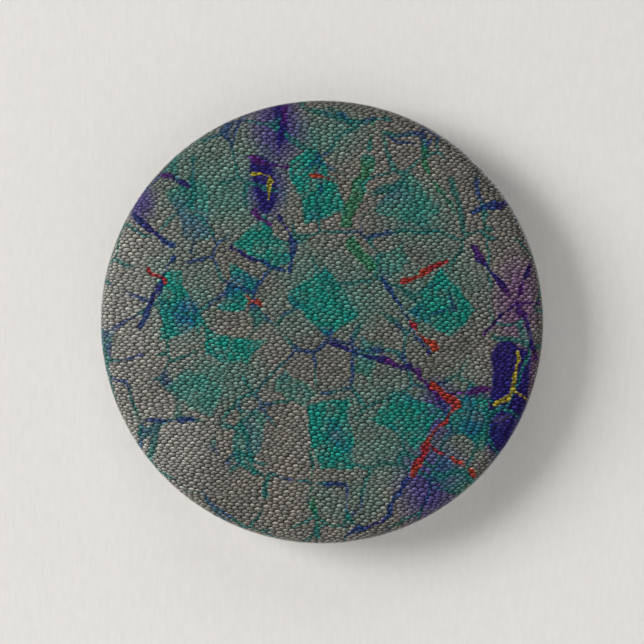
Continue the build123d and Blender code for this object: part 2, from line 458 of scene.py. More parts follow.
TEAL_LINES = (
    (((0.03, 0.96), (0.12, 0.90), (0.30, 0.92)), 0.008),
    (((0.30, 0.84), (0.44, 0.79), (0.51, 0.84)), 0.007),
    (((0.22, 0.39), (0.52, 0.41)), 0.009), (((-0.84, -0.50), (-0.79, -0.44), (-0.58, -0.44)), 0.008),
    (((-0.27, -0.80), (-0.24, -0.68), (0.10, -0.74)), 0.009), (((-0.36, -0.38), (-0.30, -0.68)), 0.009),
    (((-0.58, 0.72), (-0.57, 0.30)), 0.008), (((0.10, -0.75), (0.13, -0.91)), 0.007),
    (((-0.96, -0.16), (-0.70, -0.14)), 0.007),
)
GREEN_LINES = (
    (((0.22, 0.90), (0.21, 0.76)), 0.009), (((0.44, 0.79), (0.47, 0.70), (0.60, 0.48)), 0.008),
    (((-0.05, -0.56), (-0.04, -0.75), (-0.01, -0.97)), 0.007),
)
RED_LINES = (
    (((0.50, -0.28), (0.59, -0.36), (0.56, -0.44), (0.48, -0.52), (0.40, -0.68)), 0.013),
    (((0.48, -0.55), (0.70, -0.70)), 0.007), (((0.39, 0.01), (0.50, -0.11)), 0.008),
    (((0.36, 0.17), (0.56, 0.27)), 0.011), (((-0.35, 0.12), (-0.27, 0.07)), 0.009),
    (((-0.05, 0.65), (0.03, 0.64)), 0.007), (((-0.77, 0.24), (-0.70, 0.19)), 0.008),
)
YELLOW_LINES = (
    (((0.88, -0.14), (0.86, -0.30), (0.78, -0.38)), 0.006), (((0.86, -0.30), (0.93, -0.36)), 0.005),
    (((-0.31, 0.67), (-0.24, 0.66), (-0.23, 0.56)), 0.005),
)


def patches(tree, place, ovals):
    """A soft mask of several ovals."""
    nearest = 9.0
    for (right, up), (half_width, half_height) in ovals:
        nearest = use_group(tree, patch_group(), Place=place, Middle=(right, up, 0),
                            Shrink=(1 / half_width, 1 / half_height, 0), Nearest=nearest)["Nearest"]
    return ramp(tree, nearest, 0.25, 1.0, 1.0, 0.0)


def dabs(tree, place, shapes):
    """A crisp mask of square-ended dabs."""
    nearest = 1.0
    for middle, half_length, half_width, lean, taper in shapes:
        right, up = math.sin(math.radians(lean)), math.cos(math.radians(lean))
        nearest = use_group(tree, dab_group(), Place=place, Middle=(*middle, 0), Along=(-right, up, 0),
                            Across=(up, right, 0), Half_length=half_length, Half_width=half_width,
                            Taper=taper, Nearest=nearest)["Nearest"]
    return ramp(tree, nearest, -0.008, 0.008, 1.0, 0.0)


def strokes(tree, place, routes, edge, ragged):
    """A mask of several routes of straight strokes from point to point, as crisp as its edge is thin."""
    nearest = 1.0
    for points, width in routes:
        for start, end in zip(points, points[1:]):
            along = (end[0] - start[0], end[1] - start[1])
            square = along[0] ** 2 + along[1] ** 2
            aim = (along[0] / square, along[1] / square, 0)
            nearest = use_group(tree, stroke_group(), Place=place, From=(*start, 0), Along=(*along, 0),
                                Aim=aim, Width=width, Nearest=nearest)["Nearest"]
    return ramp(tree, maths(tree, "ADD", nearest, ragged), -edge, edge, 1.0, 0.0)


def warped(tree, place, scale, amount):
    """A place pushed about by noise."""
    push = vectors(tree, "SUBTRACT", noise(tree, place, scale, output="Color"), (0.5, 0.5, 0.5))
    return vectors(tree, "ADD", place, vectors(tree, "MULTIPLY", push, (amount, amount, 0)))


def crack_network(tree, place, scale, width):
    """The edges between large, uneven cells."""
    inputs = {"Vector": place, "Scale": scale}
    cells = add(tree, "ShaderNodeTexVoronoi", inputs, feature="DISTANCE_TO_EDGE")
    return ramp(tree, cells.outputs["Distance"], width * 0.4, width, 1.0, 0.0)


def printed_colour(tree, colours):
    """The print's colour, from its ground up to its finest lines."""
    flat = vectors(tree, "DIVIDE", attribute(tree, "flat_place", "Vector"), (RIM_RADIUS, RIM_RADIUS, 1))
    tone = attribute(tree, "pebble_tone")
    bent = warped(tree, flat, 7.0, 0.075)
    place = warped(tree, bent, 40.0, 0.022)
    clouds = noise(tree, flat, 2.6, 4.0, 0.6)
    flecks = noise(tree, flat, 60.0, 2.0, 0.6)
    zone = ramp(tree, noise(tree, flat, 5.5, 1.0), 0.44, 0.58)
    ragged = maths(tree, "MULTIPLY_ADD", noise(tree, flat, 15.0, 2.0), 0.052, -0.026)

    colour = mix(tree, ramp(tree, clouds, 0.35, 0.70), colours.leather, colours.leather_dark)
    colour = over(tree, colour, colours.leather_warm, tone, 0.30)
    # Paler ground towards the left: partly print, partly painted light from the left.
    colour = over(tree, colour, colours.leather_pale_and_painted_light, patches(tree, bent, PALE_PRINT_AND_LEFT_LIGHT), 0.80)
    haze = times(tree, patches(tree, bent, TEAL_HAZE), ramp(tree, clouds, 0.74, 0.34))
    haze = times(tree, haze, maths(tree, "MULTIPLY_ADD", flecks, 0.7, 0.30))
    colour = over(tree, colour, colours.teal, haze, 0.90)
    colour = over(tree, colour, colours.violet, patches(tree, bent, VIOLET_HAZE), 0.86)
    colour = over(tree, colour, colours.mauve, patches(tree, bent, MAUVE_HAZE), 0.80)

    worn = ramp(tree, noise(tree, flat, 13.0, 3.0, 0.65), 0.30, 0.55, 0.45, 1.0)
    ink = mix(tree, ramp(tree, noise(tree, flat, 4.0, 1.0), 0.50, 0.68), colours.teal, colours.azure)
    torn = warped(tree, warped(tree, flat, 6.0, 0.10), 26.0, 0.035)
    faded = times(tree, dabs(tree, torn, FADED_DABS), 0.62)
    painted = maths(tree, "MAXIMUM", dabs(tree, torn, TEAL_DABS), faded)
    colour = over(tree, colour, ink, painted, worn)
    colour = over(tree, colour, colours.indigo, strokes(tree, bent, INDIGO_BLOCKS, 0.012, 0.0), 0.96)

    shown = ramp(tree, noise(tree, flat, 3.4, 1.0), 0.40, 0.48)
    network = times(tree, crack_network(tree, place, 4.2, 0.042), shown)
    network_ink = mix(tree, ramp(tree, clouds, 0.50, 0.58), colours.teal_deep, colours.blue)
    colour = over(tree, colour, network_ink, network, 0.80)
    for routes, ink, other_ink, strength in (
        (GREEN_DABS, colours.green, colours.teal, 0.80),
        (TEAL_LINES, colours.teal_deep, colours.blue, 0.88),
        (GREEN_LINES, colours.green, colours.teal_deep, 0.84),
        (BLUE_LINES, colours.blue, colours.indigo, 0.92),
        (INDIGO_LINES, colours.indigo, colours.plum, 0.95), (RED_LINES, colours.red, colours.orange, 0.94),
        (YELLOW_LINES, colours.yellow, colours.yellow, 0.9),
    ):
        mask = strokes(tree, place, routes, 0.004, ragged)
        colour = over(tree, colour, mix(tree, zone, ink, other_ink), mask, strength)
    shade = maths(tree, "MULTIPLY_ADD", tone, 0.34, 0.83)
    shade = times(tree, shade, maths(tree, "MULTIPLY_ADD", flecks, 0.3, 0.85))
    return multiplied(tree, colour, shade)


def printed_paper_material():
    """Printed, grained paper: soft patches, fine lines, and pebbles with painted highlight on their upper sides,
    painted shade on their lower sides and painted shade in the creases.
    """
    material, tree, shader, _ = new_material("Printed paper")
    colours = settings().print_colours
    pebble = attribute(tree, "pebble")
    # The pebble's painted light: 1 on its side towards the light, -1 on the side away from it.
    side = attribute(tree, "pebble_painted_light")
    # Painted shade in the creases, darkest where the pebbles meet.
    painted_crease_shade = ramp(tree, pebble, 0.0, 0.80, 0.03, 1.0)
    # Painted highlight on each pebble's upper side, then painted shade on its lower side.
    painted_light_and_shade = maths(tree, "MULTIPLY_ADD", ramp(tree, side, 0.25, 0.95), 2.05, 0.93)
    painted_light_and_shade = maths(tree, "SUBTRACT", painted_light_and_shade, ramp(tree, side, -0.15, -0.90, 0.0, 0.90))
    colour = multiplied(tree, printed_colour(tree, colours), times(tree, painted_crease_shade, painted_light_and_shade))
    # Painted highlight on the upper side of each pebble's top.
    painted_highlight = times(tree, ramp(tree, side, 0.35, 1.0), ramp(tree, pebble, 0.55, 0.85))
    fibre = noise(tree, attribute(tree, "flat_place", "Vector"), 9000.0, 2.0, 0.6)
    feed_all(tree, shader, {
        "Base Color": over(tree, colour, colours.painted_highlight, painted_highlight, 0.09),
        "Roughness": maths(tree, "MULTIPLY_ADD", fibre, 0.25, 0.42),
        "Normal": bump(tree, fibre, 0.02 * MM, 0.4),
        "Specular IOR Level": 0.08,
    })
    return material


def clear_film_material():
    """Clear satin film: seen mostly as a faint sheen that grows towards the rim."""
    material, tree, shader, _ = new_material("Clear film")
    marks = use_group(tree, handling_group(), Place=attribute(tree, "flat_place", "Vector"))
    grazing = add(tree, "ShaderNodeLayerWeight", {"Blend": 0.30}).outputs["Fresnel"]
    sheen = times(tree, grazing, 0.08)
    feed_all(tree, shader, {
        "Base Color": mix(tree, marks["Smudges"], (0.58, 0.58, 0.57), (0.68, 0.68, 0.66)),
        "Roughness": maths(tree, "MULTIPLY_ADD", marks["Smudges"], 0.12, 0.26),
        "Alpha": maths(tree, "ADD", sheen, times(tree, marks["Scratches"], 0.03)),
    })
    return material


# ---------------------------------------------------------------- pressed layers

def body_profile(sizes):
    """The pressed outline at the visible surface: arcs and lines from the axis round to the tucked tail.

    Each is (start s, end s, function of a share and a depth that gives r, y and the outward normal)."""
    edge_r = RIM_RADIUS - sizes.edge_radius
    edge_y = -(sizes.hem_radius + sizes.skirt_height)
    hem_r = RIM_RADIUS - sizes.hem_radius
    fold_r = hem_r - sizes.hem_land
    rise = edge_y - FILM_LOW.y
    crown = (edge_r**2 + rise**2 - sizes.edge_radius**2) / (2 * (rise - sizes.edge_radius))
    crown_y = FILM_LOW.y + crown
    crown_turn = math.asin(edge_r / (crown - sizes.edge_radius))
    quarter = math.pi / 2

    def arc(centre_r, centre_y, radius, start, end):
        def point(share, depth):
            angle = start + (end - start) * share
            normal = (math.cos(angle), math.sin(angle))
            left = radius - depth
            return (centre_r + left * normal[0], centre_y + left * normal[1], *normal)
        return abs(end - start) * radius, point

    def line(start, end, normal):
        def point(share, depth):
            r = start[0] + (end[0] - start[0]) * share - normal[0] * depth
            y = start[1] + (end[1] - start[1]) * share - normal[1] * depth
            return (r, y, *normal)
        return math.dist(start, end), point

    pieces = [
        arc(0.0, crown_y, crown, -quarter, crown_turn - quarter),
        arc(edge_r, edge_y, sizes.edge_radius, crown_turn - quarter, 0.0),
        line((RIM_RADIUS, edge_y), (RIM_RADIUS, -sizes.hem_radius), (1, 0)),
        arc(hem_r, -sizes.hem_radius, sizes.hem_radius, 0.0, quarter),
        line((hem_r, 0.0), (fold_r, 0.0), (0, 1)),
        arc(fold_r, -sizes.fold_radius, sizes.fold_radius, quarter, 3 * quarter),
        line((fold_r, -2 * sizes.fold_radius), (hem_r, -2 * sizes.fold_radius), (0, -1)),
    ]
    spans, start = [], 0.0
    for length, point in pieces:
        spans.append((start, start + length, point))
        start += length
    return spans


def on_profile(spans, reach, depth):
    """Radius, height and outward normal of the layer's surface at this reach along the outline."""
    for start, end, point in spans:
        if reach <= end:
            return point(max(0.0, reach - start) / (end - start), depth)
    return spans[-1][2](1.0, depth)


# Waves that bend the grain's rows: how many, how long in millimetres, and their push along a row as a share.
WAVE_COUNT = 7
WAVE_LENGTHS = (3.5, 12.0)
SIDEWAYS_SHARE = 0.4
# Shares of the relief: how deep creases lie and how far a pebble's top may dip. Then the painted light on that
# top.
CREASE_DEPTHS = (0.75, 1.0)
TOP_DIP = 0.22
TOP_PAINTED_LIGHT = 0.12
# Fewest and most rings on each part of a layer's plain inside.
INSIDE_STEPS = (2, 8)


def pebble_centres(reach, grain):
    """Staggered, wavering rows of pebble centres on the flat sheet."""
    rng = np.random.default_rng(grain.seed)
    margin = 3 * grain.pebble_width
    columns = int((reach + margin) / grain.pebble_width) + 1
    rows = int((reach + margin) / grain.pebble_height) + 1
    row, column = np.mgrid[-rows:rows + 1, -columns:columns + 1]
    drift = rng.uniform(-grain.drift, grain.drift, (2 * rows + 1, 1))
    right = (column + 0.5 * (row % 2) + drift) * grain.pebble_width
    up = row * grain.pebble_height
    right = right + rng.uniform(-1, 1, right.shape) * grain.jitter * grain.pebble_width
    up = up + rng.uniform(-1, 1, up.shape) * grain.jitter * grain.pebble_height
    for _ in range(WAVE_COUNT):
        heading, phase = rng.uniform(0, 2 * math.pi, 2)
        wave = rng.uniform(*WAVE_LENGTHS) * MM
        swing = np.sin((right * math.cos(heading) + up * math.sin(heading)) * 2 * math.pi / wave + phase)
        up = up + swing * grain.waver / math.sqrt(WAVE_COUNT)
        right = right + swing * grain.waver * SIDEWAYS_SHARE / math.sqrt(WAVE_COUNT)
    near = np.hypot(right, up) < reach + 2 * grain.pebble_width
    return np.column_stack([right[near], up[near]])


def pebble_cells(centres, reach, stretch):
    """Cells round the centres that lie within reach: corner places, and each cell's corners in order."""
    squeezed = [Vector((right / stretch, up)) for right, up in centres]
    triangles = delaunay_2d_cdt(squeezed, [], [], 0, 1e-9)[2]
    corners = np.array([centres[list(triangle)].mean(axis=0) for triangle in triangles])
    around = [[] for _ in centres]
    for index, triangle in enumerate(triangles):
        for site in triangle:
            around[site].append(index)
    inside = np.hypot(centres[:, 0], centres[:, 1]) < reach
    cells = {}
    for site in np.flatnonzero(inside):
        away = corners[around[site]] - centres[site]
        order = np.argsort(np.arctan2(away[:, 1], away[:, 0]))
        cells[int(site)] = [around[site][k] for k in order]
    return corners, cells


def outline_of(cells):
    """The loop of corners round all the cells, in order."""
    directed = {(a, b) for ring in cells.values() for a, b in zip(ring, ring[1:] + ring[:1])}
    follow = {a: b for a, b in directed if (b, a) not in directed}
    start = next(iter(follow))
    loop = [start]
    while follow[loop[-1]] != start:
        loop.append(follow[loop[-1]])
    return loop


def bridge(faces, first, first_angles, second, second_angles):
    """Triangles between two rings of points, each with its angles in rising order."""
    i = j = 0
    count_i, count_j = len(first), len(second)
    turn = 2 * math.pi
    while i < count_i or j < count_j:
        next_i = first_angles[(i + 1) % count_i] + turn * ((i + 1) // count_i)
        next_j = second_angles[(j + 1) % count_j] + turn * ((j + 1) // count_j)
        if j >= count_j or (i < count_i and next_i <= next_j):
            faces.append((first[i % count_i], first[(i + 1) % count_i], second[j % count_j]))
            i += 1
        else:
            faces.append((first[i % count_i], second[(j + 1) % count_j], second[j % count_j]))
            j += 1


# Right and up, the way that the painted light comes from across the face: a pebble's side towards it gets painted
# highlight, the side away from it painted shade.
LIT_FROM = np.array([-0.42, 0.907])


class LayerMesh:
    """Points and faces of one pressed layer, with each point's flat place, pebble height and tone."""

    def __init__(self, spans):
        self.spans = spans
        # side holds each point's painted light: 1 on a pebble's side towards the light, -1 on the side away from
        # it.
        self.points, self.flat, self.pebble, self.side = [], [], [], []
        self.faces, self.tones = [], []

    def point(self, right, up, depth, sink, height, side=0.0):
        """Adds a point of the flat sheet, pressed into shape, and gives its index."""
        reach = math.hypot(right, up)
        r, y, normal_r, normal_y = on_profile(self.spans, reach, depth)
        r, y = r - normal_r * sink, y - normal_y * sink
        share = r / reach if reach > 0 else 0.0
        self.points.append((right * share, y, up * share))
        self.flat.append((right, up, 0.0))
        self.pebble.append(height)
        self.side.append(side)
        return len(self.points) - 1

    def face(self, corners, tone=0.5):
        """Adds one face of a pebble or of a plain ring."""
        self.faces.append(corners)
        self.tones.append(tone)

    def ring(self, reach, depth, count):
        """Adds a plain ring and gives its points and their angles."""
        angles = [2 * math.pi * k / count for k in range(count)]
        ids = [self.point(reach * math.cos(a), reach * math.sin(a), depth, 0.0, 1.0) for a in angles]
        return ids, angles

    def join(self, first, second):
        """Fills between two rings."""
        faces = []
        bridge(faces, *first, *second)
        for corners in faces:
            self.face(corners)


def pebbled_top(layer, depth, relief, grain, reach):
    """Adds the grained side of a layer, out to this reach, and gives its outline as a ring."""
    rng = np.random.default_rng(grain.seed + 1)
    centres = pebble_centres(reach, grain)
    corners, cells = pebble_cells(centres, reach, grain.stretch)
    loop = outline_of(cells)
    on_loop = set(loop)
    corner_ids = {}
    for ring in cells.values():
        for corner in ring:
            if corner in corner_ids:
                continue
            if corner in on_loop:
                corners[corner] *= reach / math.hypot(*corners[corner])
                sink = 0.0
            else:
                sink = relief * rng.uniform(*CREASE_DEPTHS)
            corner_ids[corner] = layer.point(*corners[corner], depth, sink, 0.0)
    for site, ring in cells.items():
        tone = rng.uniform()
        crown = rng.uniform(0.0, TOP_DIP) * relief
        # The pebble's top gets a little painted light.
        middle = layer.point(*centres[site], depth, crown, 1.0, TOP_PAINTED_LIGHT)
        shoulder_sink = crown + (1 - grain.shoulder_height) * relief
        inner = []
        for corner in ring:
            away = corners[corner] - centres[site]
            place = centres[site] + away * grain.shoulder
            # Painted light of this ring point: highlight towards the light, shade away from it.
            side = float(away @ LIT_FROM / np.hypot(*away))
            inner.append(layer.point(*place, depth, shoulder_sink, grain.shoulder_height, side))
        for k in range(len(ring)):
            after = (k + 1) % len(ring)
            layer.face((middle, inner[k], inner[after]), tone)
            layer.face((inner[k], corner_ids[ring[k]], corner_ids[ring[after]], inner[after]), tone)
    angles = np.array([math.atan2(corners[c][1], corners[c][0]) % (2 * math.pi) for c in loop])
    start = int(np.argmin(angles))
    ids = [corner_ids[c] for c in loop[start:] + loop[:start]]
    angles = np.maximum.accumulate(np.roll(angles, -start))
    return ids, list(angles)


def pressed_layer(name, depth, thickness, relief):
    """A closed mesh of one layer: grained on its visible side, plain where it is tucked and inside."""
    sizes, grain = settings().body, settings().grain
    spans = body_profile(sizes)
    layer = LayerMesh(spans)
    land_end, tail_end = spans[4][1], spans[6][1]
    previous = pebbled_top(layer, depth, relief, grain, land_end)
    step = sizes.profile_step
    for reach in np.linspace(land_end, tail_end, round((tail_end - land_end) / step) + 1)[1:]:
        ring = layer.ring(reach, depth, sizes.ring_count)
        layer.join(previous, ring)
        previous = ring
    inside = depth + thickness
    inner_reaches = []
    for start, end, _ in reversed(spans):
        steps = int(np.clip(round((end - start) / (2 * step)), *INSIDE_STEPS))
        inner_reaches += list(np.linspace(end, start, steps, endpoint=False))
    for reach in inner_reaches:
        ring = layer.ring(reach, inside, sizes.ring_count)
        layer.join(previous, ring)
        previous = ring
    centre = layer.point(0.0, 0.0, inside, 0.0, 1.0)
    ids, _ = previous
    for k, point in enumerate(ids):
        layer.face((point, ids[(k + 1) % len(ids)], centre))
    return mesh_object(name, layer.points, layer.faces, {
        "flat_place": layer.flat, "pebble": layer.pebble,
        "pebble_painted_light": layer.side, "pebble_tone": layer.tones,
    })


def mesh_object(name, points, faces, attributes):
    """A smooth-shaded object in the scene, with named numbers or vectors for its points or faces."""
    mesh = bpy.data.meshes.new(name)
    mesh.from_pydata([tuple(point) for point in points], [], faces)
    for title, values in attributes.items():
        values = np.array(values, np.float32)
        kind, key = ("FLOAT_VECTOR", "vector") if values.ndim == 2 else ("FLOAT", "value")
        domain = "POINT" if len(values) == len(points) else "FACE"
        mesh.attributes.new(title, kind, domain).data.foreach_set(key, values.ravel())
    mesh.shade_smooth()
    mesh.update()
    piece = bpy.data.objects.new(name, mesh)
    bpy.context.scene.collection.objects.link(piece)
    return piece


def finish_piece(piece, material, replaced):
    """Gives a piece its material and hides the CAD node that it stands for."""
    piece.data.materials.append(material)
    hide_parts(replaced)


# ---------------------------------------------------------------- metal

@once("materials", "Rolled tinplate")
def tinplate_material(name):
    """Bright rolled tinplate: fine rolling lines, faint smudges and light scratches."""
    material, tree, shader, _ = new_material(name)
    tinplate = settings().metals.tinplate
    place = object_place(tree)
    marks = use_group(tree, handling_group(), Place=place)
    rolling = noise(tree, stretched(tree, place, (150.0, 300.0, 7000.0)), 1.0, 3.0, 0.6)
    spangle = noise(tree, place, 300.0, 4.0, 0.6)
    colour = mix(tree, ramp(tree, spangle, 0.35, 0.75), tinplate, darker(tinplate, 0.86))
    colour = over(tree, colour, (0.50, 0.49, 0.47), marks["Smudges"], 0.22)
    shine = maths(tree, "MULTIPLY_ADD", marks["Smudges"], 0.12, 0.24)
    shine = maths(tree, "ADD", shine, times(tree, rolling, 0.16))
    shine = maths(tree, "ADD", shine, times(tree, marks["Scratches"], 0.2))
    height = maths(tree, "ADD", rolling, times(tree, marks["Height"], 0.8))
    normal = bump(tree, height, 0.008 * MM, 0.7)
    feed_all(tree, shader, {"Base Color": colour, "Roughness": shine, "Normal": normal, "Metallic": 1.0})
    return material


@once("materials", "Drawn nickel wire")
def pin_wire_material(name):
    """Nickel-plated spring wire: fine drawn lines along it and a few rubbed places."""
    material, tree, shader, _ = new_material(name)
    nickel = settings().metals.nickel
    along = attribute(tree, "wire_place", "Vector")
    drawn = noise(tree, stretched(tree, along, (260.0, 3.2, 3.2)), 1.0, 3.0, 0.65)
    marks = use_group(tree, handling_group(), Place=object_place(tree), Size=1.6)
    colour = mix(tree, ramp(tree, drawn, 0.38, 0.74), nickel, darker(nickel, 0.72))
    shine = maths(tree, "MULTIPLY_ADD", drawn, 0.16, 0.12)
    shine = maths(tree, "ADD", shine, times(tree, marks["Smudges"], 0.10))
    normal = bump(tree, drawn, 0.004 * MM, 0.5)
    feed_all(tree, shader, {"Base Color": colour, "Roughness": shine, "Normal": normal, "Metallic": 1.0})
    return material


def rounded_path(corners, radius, step):
    """Points along straight runs joined by arcs of one radius."""
    points = [Vector(corners[0])]
    for before, corner, after in zip(corners, corners[1:], corners[2:]):
        before, corner, after = Vector(before), Vector(corner), Vector(after)
        arriving, leaving = (corner - before).normalized(), (after - corner).normalized()
        turn = arriving.angle(leaving)
        trim = radius * math.tan(turn / 2)
        side = (leaving - arriving * leaving.dot(arriving)).normalized()
        start = corner - arriving * trim
        centre = start + side * radius
        count = max(6, round(radius * turn / step))
        for k in range(count + 1):
            angle = turn * k / count
            points.append(centre - side * radius * math.cos(angle) + arriving * radius * math.sin(angle))
    points.append(Vector(corners[-1]))
    return spaced(points, step)


def spaced(points, step):
    """The same path with extra points, so that no run is longer than the step."""
    path = [points[0]]
    for start, end in zip(points, points[1:]):
        count = max(1, math.ceil((end - start).length / step))
        path += [start.lerp(end, k / count) for k in range(1, count + 1)]
    return path


def wire_mesh(name, path, radii, sides):
    """A round wire along a path, its radius given at each point, closed at both ends."""
    around = zip(path[:1] + path, path[1:] + path[-1:])
    tangents = [(after - before).normalized() for before, after in around]
    across = tangents[0].orthogonal().normalized()
    points, faces, place, gone = [], [], [], 0.0
    for k, (centre, tangent, radius) in enumerate(zip(path, tangents, radii)):
        across = (across - tangent * across.dot(tangent)).normalized()
        other = tangent.cross(across)
        if k:
            gone += (centre - path[k - 1]).length
        for side in range(sides):
            angle = 2 * math.pi * side / sides
            offset = across * math.cos(angle) + other * math.sin(angle)
            points.append(centre + offset * radius)
            place.append((gone, math.cos(angle), math.sin(angle)))
    for k in range(len(path) - 1):
        for side in range(sides):
            after = (side + 1) % sides
            here, there = k * sides, (k + 1) * sides
            faces.append((here + side, here + after, there + after, there + side))
    last = (len(path) - 1) * sides
    faces.append(tuple(range(sides - 1, -1, -1)))
    faces.append(tuple(range(last, last + sides)))
    piece = mesh_object(name, points, faces, {"wire_place": place})
    for cap in (-2, -1):
        piece.data.polygons[cap].use_smooth = False
    return piece


def rounded_end(path, radius, length):
    """The wire's radius at each point of a path whose last stretch is rounded over."""
    total = [0.0]
    for start, end in zip(path, path[1:]):
        total.append(total[-1] + (end - start).length)
    radii = []
    for gone in total:
        left = min(1.0, (total[-1] - gone) / length)
        radii.append(radius * max(LEAST_END, math.sqrt(1 - (1 - left) ** 2)))
    return radii


def wire_radius():
    """Radius of the pin's wire."""
    return (NEEDLE_HIGH.z - NEEDLE_LOW.z) / 2


def coil_centre():
    """Middle of the coil, where the needle's side spring turns."""
    pivot = Vector(JOINTS["needle_press"]["pos_m"])
    return Vector((pivot.x, BASE_LOW.y + wire_radius(), pivot.z))


def wire_piece(name, path, radii, replaced):
    """A piece of the pin, with its finish, that stands for this CAD node."""
    piece = wire_mesh(name, path, radii, settings().pin.wire_sides)
    finish_piece(piece, pin_wire_material(), replaced)
    return piece


# ---------------------------------------------------------------- operators

class BADGE_OT_printed_disc(Operator):
    """Build the printed, grained paper disc"""
    bl_idname = "badge.printed_disc"
    bl_label = "Printed disc"

    def execute(self, context):
        depth = PAPER_LOW.y - FILM_LOW.y
        relief = settings().grain.relief
        piece = pressed_layer("printed_disc", depth, settings().body.paper_thickness, relief)
        finish_piece(piece, printed_paper_material(), "artwork_disc")
        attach(piece, "badge")
        return {"FINISHED"}


class BADGE_OT_film(Operator):
    """Build the clear film over the print"""
    bl_idname = "badge.film"
    bl_label = "Clear film"

    def execute(self, context):
        grain = settings().grain
        relief = grain.relief * grain.film_share
        piece = pressed_layer("clear_film_disc", 0.0, settings().body.film_thickness, relief)
        piece.visible_shadow = False
        finish_piece(piece, clear_film_material(), "clear_film")
        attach(piece, "badge")
        return {"FINISHED"}


class BADGE_OT_pressed_steel(Operator):
    """Finish the shell and the back plate in rolled tinplate"""
    bl_idname = "badge.pressed_steel"
    bl_label = "Shell and back plate"

    def execute(self, context):
        for name in ("front_shell", "back_plate"):
            mesh = frame["nodes"][name].data
            mesh.materials.clear()
            mesh.materials.append(tinplate_material())
        return {"FINISHED"}


class BADGE_OT_base_wire(Operator):
    """Build the pin's base leg and its upturned catch"""
    bl_idname = "badge.base_wire"
    bl_label = "Base leg and catch"

    def execute(self, context):
        sizes = settings().pin
        radius = wire_radius()
        base_y, base_z = BASE_LOW.y + radius, BASE_LOW.z + radius
        catch_x, post_z = BASE_LOW.x + radius, BASE_HIGH.z - radius
        corners = (
            (coil_centre().x, base_y, base_z), (catch_x, base_y, base_z),
            (catch_x, base_y, post_z), (catch_x, BASE_HIGH.y, post_z),
        )
        path = rounded_path(corners, sizes.bend_radius, sizes.wire_step)
        tip = spaced([path[-2], path[-1]], sizes.wire_step / 6)
        path = path[:-2] + tip
        radii = rounded_end(path, radius, radius * 0.8)
        piece = wire_piece("pin_base_leg", path, radii, "pin_base_wire")
        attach(piece, "badge")
        return {"FINISHED"}


class BADGE_OT_coil(Operator):
    """Build the pin's spring coil"""
    bl_idname = "badge.coil"
    bl_label = "Spring coil"

    def execute(self, context):
        sizes = settings().pin
        radius = wire_radius()
        centre = coil_centre()
        loop = COIL_HIGH.x - radius - centre.x
        rise = JOINTS["needle_lift"]["pos_m"][1] - centre.y
        turn = 2 * math.pi * sizes.coil_turns
        count = math.ceil(turn * loop / sizes.wire_step)
        path = []
        for k in range(count + 1):
            angle = turn * k / count - math.pi / 2
            spot = Vector((loop * math.cos(angle), rise * k / count, loop * math.sin(angle)))
            path.append(centre + spot)
        piece = wire_piece("pin_spring_coil", path, [radius] * len(path), "pin_coil")
        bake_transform(piece)
        return {"FINISHED"}


class BADGE_OT_needle(Operator):
    """Build the pin's needle, from the coil to its ground point"""
    bl_idname = "badge.needle"
    bl_label = "Needle"

    def execute(self, context):
        sizes = settings().pin
        radius = wire_radius()
        root = Vector(JOINTS["needle_lift"]["pos_m"])
        along = Vector(NEEDLE_MOUNT["axis"]).normalized()
        half = NEEDLE_MOUNT["dims"]["length_mm"] * MM / 2
        shank = Vector(NEEDLE_MOUNT["pos_m"]) - along * half
        tip = Vector(NEEDLE_MOUNT["pos_m"]) + along * (half + sizes.point_length)
        bend = shank - root
        bow = bend.length - bend.dot(along) + sizes.arm_bow
        arm = []
        for k in range(ARM_STEPS + 1):
            share = k / ARM_STEPS
            place = root.lerp(shank, share)
            place.y += bow * 4 * share * (1 - share)
            arm.append(place)
        path = arm + spaced([shank, tip], sizes.wire_step * 2)[1:]
        radii = [radius * point_share((tip - place).length / sizes.point_length) for place in path]
        piece = wire_piece("pin_needle_wire", path, radii, "pin_needle")
        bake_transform(piece)
        return {"FINISHED"}


def point_share(left):
    """The needle's radius as a share of the wire's, this many point lengths from its tip."""
    return 1.0 if left >= 1 else LEAST_POINT + (1 - LEAST_POINT) * math.sin(left * math.pi / 2) ** 0.9


def plain_sheet(name, corners, material):
    """A flat stage sheet."""
    piece = mesh_object(name, corners, [(0, 1, 2, 3)], {})
    piece.data.materials.append(material)
    return piece


def area_light(name, place, size, power, colour=(1, 1, 1)):
    """A square soft light that looks at the badge."""
    light = bpy.data.lights.new(name, "AREA")
    light.shape = "SQUARE"
    light.size = size
    light.energy = power
    light.color = colour
    lamp = bpy.data.objects.new(name, light)
    bpy.context.scene.collection.objects.link(lamp)
    lamp.location = place
    lamp.rotation_mode = "QUATERNION"
    lamp.rotation_quaternion = (-Vector(place)).to_track_quat("-Z", "Y")


def wall_material(see_through):
    """Pale painted paper with a faint upright tooth; a wall's back can be seen through."""
    name = "Pale wall" if see_through else "Pale floor"
    material, tree, shader, output = new_material(name)
    tooth = noise(tree, stretched(tree, object_place(tree), (1900.0, 1900.0, 480.0)), 1.0)
    paper = settings().studio.paper
    feed_all(tree, shader, {
        "Base Color": mix(tree, ramp(tree, tooth, 0.3, 0.7), darker(paper, 0.965), paper),
        "Normal": bump(tree, tooth, 0.02 * MM, 0.15), "Roughness": 0.9, "Specular IOR Level": 0.1,
    })
    if see_through:
        clear = add(tree, "ShaderNodeBsdfTransparent").outputs[0]
        behind = add(tree, "ShaderNodeNewGeometry").outputs["Backfacing"]
        sides = add(tree, "ShaderNodeMixShader", enumerate((behind, shader.outputs[0], clear)))
        feed(tree, output.inputs["Surface"], sides.outputs[0])
    return material


